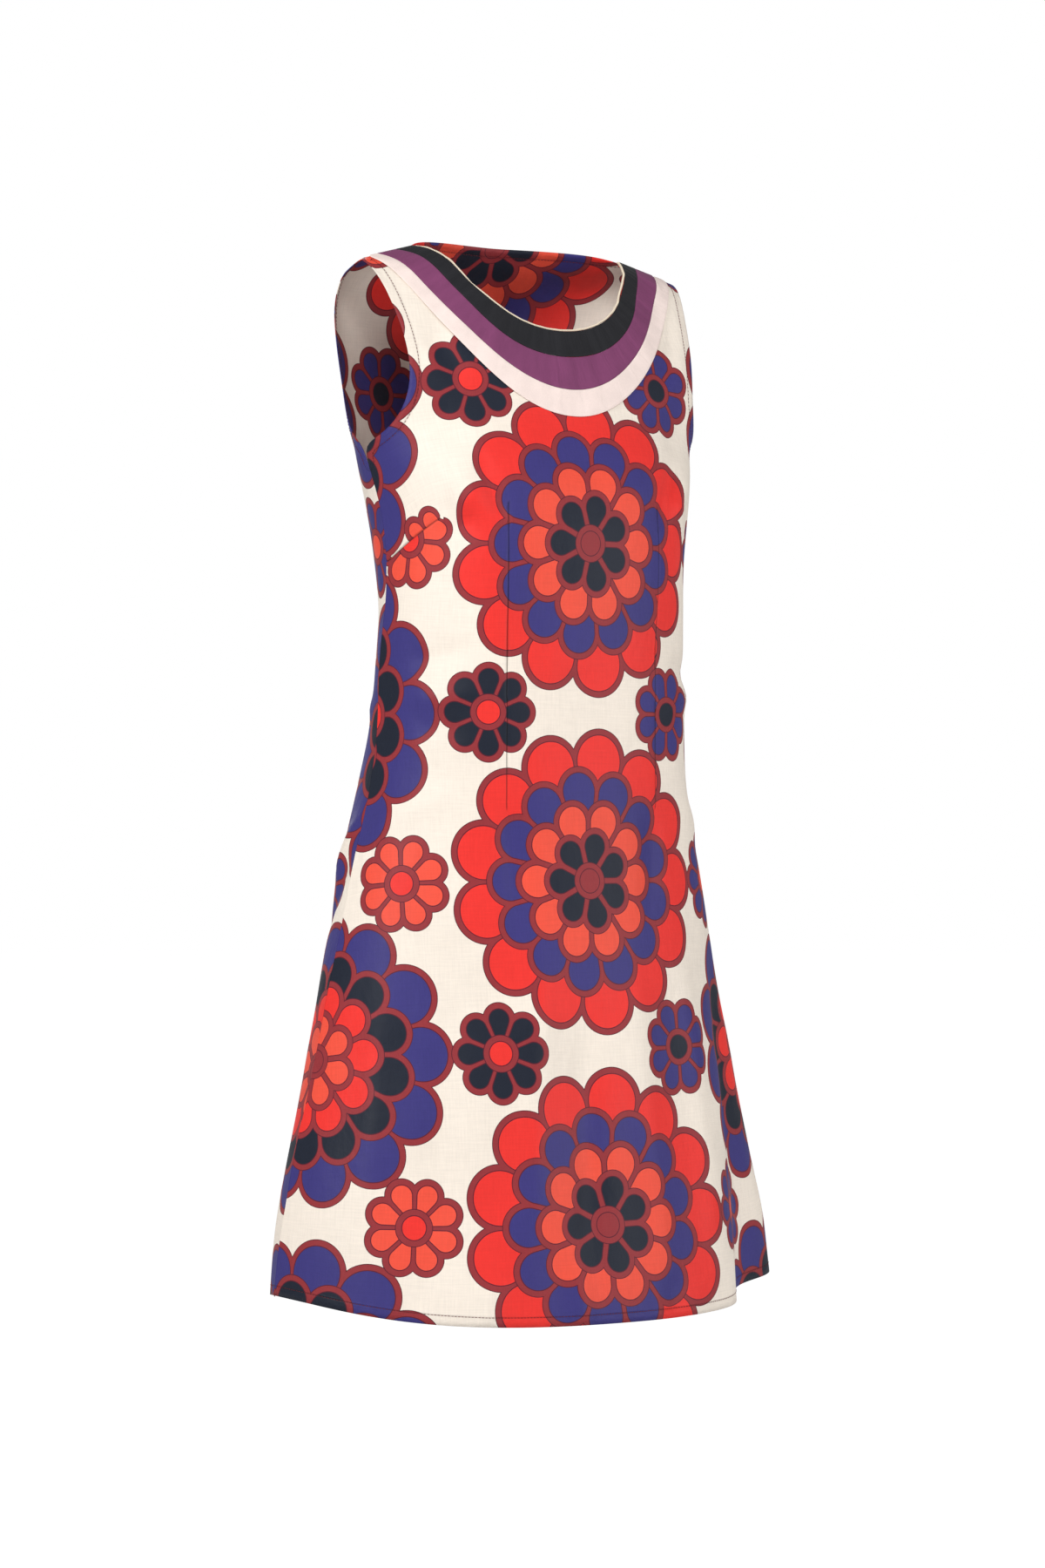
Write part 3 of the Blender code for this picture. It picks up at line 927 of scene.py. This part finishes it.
def printed_cotton(dyes, sizes):
    """Crisp printed cotton with a slight lustre."""
    material, tree, shader = new_material("printed_cotton")
    cut = coordinates(tree, "UV")
    parts = tree.nodes.new("ShaderNodeSeparateXYZ")
    plug(tree, parts.inputs[0], cut)
    shade = print_colour(tree, parts.outputs[0], parts.outputs[1], dyes)
    slub = noise(tree, stretched(tree, cut, (640, 36, 1)), 1.0, 4, 0.7)
    cross = noise(tree, stretched(tree, cut, (36, 640, 1)), 1.0, 4, 0.7)
    cloud = noise(tree, cut, 9.0, 4)
    doubled, valley = turned_edge(tree, sizes)
    threads = calc(tree, "ADD", slub, cross)
    value = calc(tree, "MULTIPLY_ADD", threads, 0.22, calc(tree, "MULTIPLY_ADD", cloud, 0.16, 0.70))
    value = calc(tree, "MULTIPLY_ADD", doubled, -0.045, value)
    # Painted shade: the cloth is coloured darker in the valley that the stitches draw, as if shade fell in the
    # groove.
    value = calc(tree, "MULTIPLY_ADD", valley, -0.24, value)
    # Along each dart the cloth is coloured darker: partly the dart's own seam line, partly painted shade of its sunk
    # groove.
    _, dart = attribute(tree, "dart")
    value = calc(tree, "MULTIPLY", value, calc(tree, "MULTIPLY_ADD", dart, -0.65, 1.0))
    plug(tree, shader.inputs["Base Color"], blend_colour(tree, 1.0, shade, grey(tree, value), "MULTIPLY"))
    plug(tree, shader.inputs["Roughness"], calc(tree, "MULTIPLY_ADD", cloud, 0.16, 0.48))
    shader.inputs["Sheen Weight"].default_value = 0.02
    shader.inputs["Sheen Roughness"].default_value = 0.4
    shader.inputs["Specular IOR Level"].default_value = 0.22
    crumple = noise(tree, stretched(tree, cut, (34, 22, 1)), 1.0, 4, 0.55)
    height = calc(tree, "MULTIPLY_ADD", weave_height(tree, cut, 1.6), 0.008, calc(tree, "MULTIPLY", threads, 0.04))
    height = calc(tree, "MULTIPLY_ADD", crumple, 1.6, height)
    pucker = calc(tree, "MULTIPLY_ADD", noise(tree, cut, 140.0, 2), 0.8, -0.3)
    height = calc(tree, "MULTIPLY_ADD", doubled, pucker, height)
    height = calc(tree, "MULTIPLY_ADD", valley, -0.22, height)
    relief(tree, shader, height)
    return material


def paper(name, value):
    """Matt studio paper, faintly clouded, that looks as bright as the sky above it."""
    material, tree, shader = new_material(name)
    cloud = noise(tree, coordinates(tree, "Object"), 3.0, 3)
    shade = blend_colour(tree, cloud, (*(c * 0.985 for c in value), 1), (*value, 1))
    plug(tree, shader.inputs["Base Color"], shade)
    shader.inputs["Roughness"].default_value = 0.9
    shader.inputs["Specular IOR Level"].default_value = 0.1
    shader.inputs["Emission Color"].default_value = (1, 1, 1, 1)
    seen = tree.nodes.new("ShaderNodeLightPath").outputs["Is Camera Ray"]
    plug(tree, shader.inputs["Emission Strength"], calc(tree, "MULTIPLY", seen, 1 - SKY * FLOOR_SHARE))
    return material


def plain_cotton(name, value, roughness, pucker=0.0):
    """Cotton in one dye, with its weave and a cloudy surface. Puckers run across a band from the neck edge, with
    painted light and shade along them.
    """
    material, tree, shader = new_material(name)
    place = coordinates(tree, "Object")
    fine = noise(tree, place, 1400.0, 2)
    cloud = noise(tree, place, 45.0, 4)
    height = calc(tree, "MULTIPLY", fine, 0.015)
    mix = calc(tree, "MULTIPLY_ADD", fine, 0.5, calc(tree, "MULTIPLY", cloud, 0.5))
    if pucker:
        strip, _ = attribute(tree, "strip")
        wave = noise(tree, stretched(tree, strip, (110, 16, 1)), 1.0, 2)
        thin = noise(tree, stretched(tree, strip, (420, 40, 1)), 1.0, 2)
        height = calc(tree, "MULTIPLY_ADD", wave, 2.0 * pucker, height)
        height = calc(tree, "MULTIPLY_ADD", thin, 0.3 * pucker, height)
        # Painted light and shade on the puckers: the band is coloured lighter on the crests of the wave that bumps it
        # and darker in its hollows, over its own random mottling.
        mix = calc(tree, "MULTIPLY_ADD", wave, 1.4 * pucker, calc(tree, "SUBTRACT", mix, 0.7 * pucker))
    light = (*(min(1.0, c * 1.2 + 0.004) for c in value), 1)
    dark = (*(c * 0.78 for c in value), 1)
    plug(tree, shader.inputs["Base Color"], blend_colour(tree, mix, dark, light))
    plug(tree, shader.inputs["Roughness"], calc(tree, "MULTIPLY_ADD", cloud, 0.2, roughness))
    shader.inputs["Sheen Weight"].default_value = 0.02
    shader.inputs["Specular IOR Level"].default_value = 0.18
    relief(tree, shader, height)
    return material


# ---------------------------------------------------------------- operators


class DRESS_OT_panels(bpy.types.Operator):
    """Makes the front and back panels as thin printed cloth"""

    bl_idname = "dress.panels"
    bl_label = "Front and back panels"

    def execute(self, context):
        sizes, dyes = context.scene.dress_sizes, context.scene.dress_dyes
        cotton = printed_cotton(dyes, sizes)
        panels = {}
        for node, rows in ((FRONT, FRONT_DARTS), (BACK, BACK_DARTS)):
            darts = both_sides(rows)
            obj = smoothed(mesh_object(node + "_cloth", outer_layer(node)), 1)
            lay_flat(sew_darts(obj, darts, Dart.slit))
            panels[node] = sew_darts(smoothed(obj, sizes.levels), darts, Dart.press)
        trees = {FRONT: surface_tree(panels[BACK]), BACK: surface_tree(panels[FRONT])}
        for node, creases in ((FRONT, FRONT_CREASES), (BACK, BACK_CREASES)):
            obj = crease_cloth(panels[node], trees[node], creases, sizes.ripple)
            turn_seams(obj, trees[node])
            thickness(shade_smooth(obj), sizes.cloth)
            finish(obj, cotton, "printed_cloth", node)
        return {"FINISHED"}


class DRESS_OT_topstitching(bpy.types.Operator):
    """Sews down the turned hem, armholes and back neck, and measures each panel's cut"""

    bl_idname = "dress.topstitching"
    bl_label = "Topstitching"

    def execute(self, context):
        sizes, dyes = context.scene.dress_sizes, context.scene.dress_dyes
        thread = plain_cotton("sewing_thread", dyes.thread, 0.5)
        turned = {"hem": sizes.hem, "armhole": sizes.armhole}
        for node, insets in ((FRONT, turned), (BACK, turned | {"neck": sizes.neck})):
            panel = bpy.data.objects[node + "_cloth"]
            rows = topstitching(panel, insets, sizes)
            finish(shade_smooth(rows), thread, "printed_cloth")
            wide, tall, area = cut_size(panel)
        return {"FINISHED"}


class DRESS_OT_neck_bands(bpy.types.Operator):
    """Makes the three folded bands round the front neck"""

    bl_idname = "dress.neck_bands"
    bl_label = "Neck bands"

    def execute(self, context):
        sizes, dyes = context.scene.dress_sizes, context.scene.dress_dyes
        neck_run = smooth_run(cord_middles("neck_piping"), 4)
        for kind, pucker in (("black", 1.0), ("purple", 0.7), ("pale", 0.35)):
            node = f"neck_band_{kind}"
            obj = smoothed(mesh_object(node + "_cloth", outer_layer(node)), 1)
            smoothed(lay_flat(obj), sizes.levels)
            strip = strip_size(obj)
            note_strip(obj, neck_run)
            thickness(shade_smooth(obj), sizes.band)
            round_folds(obj, sizes.band)
            cotton = plain_cotton(f"{kind}_cotton", getattr(dyes, f"{kind}_band"), 0.55, pucker)
            finish(obj, cotton, f"{kind}_band", node)
        return {"FINISHED"}


class DRESS_OT_piping(bpy.types.Operator):
    """Makes the cord that is whipped along the front neck edge"""

    bl_idname = "dress.piping"
    bl_label = "Piping"

    def execute(self, context):
        sizes, dyes = context.scene.dress_sizes, context.scene.dress_dyes
        run = smooth_run(cord_middles("neck_piping"), 4)
        bm = bmesh.new()
        bm.from_mesh(core_tube(run, PIPING_CORE))
        loop = whip_loop(PIPING_CORE, WHIP_THREAD)
        for place, along in walk(run, sizes.whip)[1:]:
            aside = along.cross((0, 0, 1)).normalized()
            turn = Matrix((aside, along.cross(aside), along)).transposed().to_4x4()
            copy_in(bm, loop, Matrix.Translation(place) @ turn @ Matrix.Rotation(WHIP_SLANT, 4, "X"))
        cord = mesh_object("whipped_piping", bm)
        finish(shade_smooth(cord), plain_cotton("piping_thread", dyes.piping, 0.5), "cream_piping", "neck_piping")
        return {"FINISHED"}


class DRESS_OT_stage(bpy.types.Operator):
    """Makes the floor, the lights and the camera"""

    bl_idname = "dress.stage"
    bl_label = "Stage"

    def execute(self, context):
        scene = context.scene
        bm = bmesh.new()
        bmesh.ops.create_circle(bm, cap_ends=True, segments=96, radius=30)
        bmesh.ops.translate(bm, verts=bm.verts, vec=(0, 0, -1.5))
        floor = mesh_object("floor", bm)
        floor.data.materials.append(paper("floor_paper", scene.dress_dyes.floor))
        world = bpy.data.worlds.new("studio")
        scene.world = world
        world.use_nodes = True
        sky = world.node_tree.nodes["Background"]
        sky.inputs["Color"].default_value = (1, 1, 1, 1)
        seen = world.node_tree.nodes.new("ShaderNodeLightPath").outputs["Is Camera Ray"]
        plug(world.node_tree, sky.inputs["Strength"], calc(world.node_tree, "MULTIPLY_ADD", seen, 1 - SKY, SKY))
        for name, place, size, power in (
            ("key_light", (-3.2, -0.9, 0.8), 0.7, 68),
            ("fill_light", (2.1, -2.7, -0.3), 1.6, 45),
            ("back_light", (0.8, 3.0, 0.9), 1.4, 60),
            ("top_light", (-1.5, -2.3, 1.4), 0.8, 36),
        ):
            light = bpy.data.lights.new(name, "AREA")
            light.size = size
            light.energy = power
            lamp = bpy.data.objects.new(name, light)
            lamp.location = place
            lamp.rotation_euler = (Vector((0, 0, -0.5)) - Vector(place)).to_track_quat("-Z", "Y").to_euler()
            context.collection.objects.link(lamp)
        turn = math.radians(34)
        distance = 4.3997
        data = bpy.data.cameras.new("camera")
        data.sensor_fit = "VERTICAL"
        data.sensor_height = 36
        data.lens = 106
        data.shift_x = -2 / 1800
        data.shift_y = 43 / 1800
        camera = bpy.data.objects.new("camera", data)
        camera.location = (-distance * math.sin(turn), -distance * math.cos(turn), -0.541)
        camera.rotation_euler = (math.pi / 2, 0, -turn)
        context.collection.objects.link(camera)
        scene.camera = camera
        scene.view_settings.view_transform = "Standard"
        return {"FINISHED"}


class DRESS_PT_sidebar(bpy.types.Panel):
    """Sizes, dyes and pieces of the dress"""

    bl_idname = "DRESS_PT_sidebar"
    bl_label = "Shift dress"
    bl_space_type = "VIEW_3D"
    bl_region_type = "UI"
    bl_category = "Dress"

    def draw(self, context):
        for group in (context.scene.dress_sizes, context.scene.dress_dyes):
            column = self.layout.column()
            for name in group.__annotations__:
                column.prop(group, name)
        for operator in OPERATORS:
            self.layout.operator(operator.bl_idname)


GROUPS = (DressDyes, DressSizes)
OPERATORS = (
    DRESS_OT_panels,
    DRESS_OT_topstitching,
    DRESS_OT_neck_bands,
    DRESS_OT_piping,
    DRESS_OT_stage,
)


def register():
    for cls in (*GROUPS, *OPERATORS, DRESS_PT_sidebar):
        bpy.utils.register_class(cls)
    bpy.types.Scene.dress_dyes = bpy.props.PointerProperty(type=DressDyes)
    bpy.types.Scene.dress_sizes = bpy.props.PointerProperty(type=DressSizes)


def unregister():
    del bpy.types.Scene.dress_sizes
    del bpy.types.Scene.dress_dyes
    for cls in reversed((*GROUPS, *OPERATORS, DRESS_PT_sidebar)):
        bpy.utils.unregister_class(cls)


def main():
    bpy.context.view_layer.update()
    register()
    bpy.ops.dress.panels()
    bpy.ops.dress.topstitching()
    bpy.ops.dress.neck_bands()
    bpy.ops.dress.piping()
    bpy.ops.dress.stage()


if __name__ == "__main__":
    main()
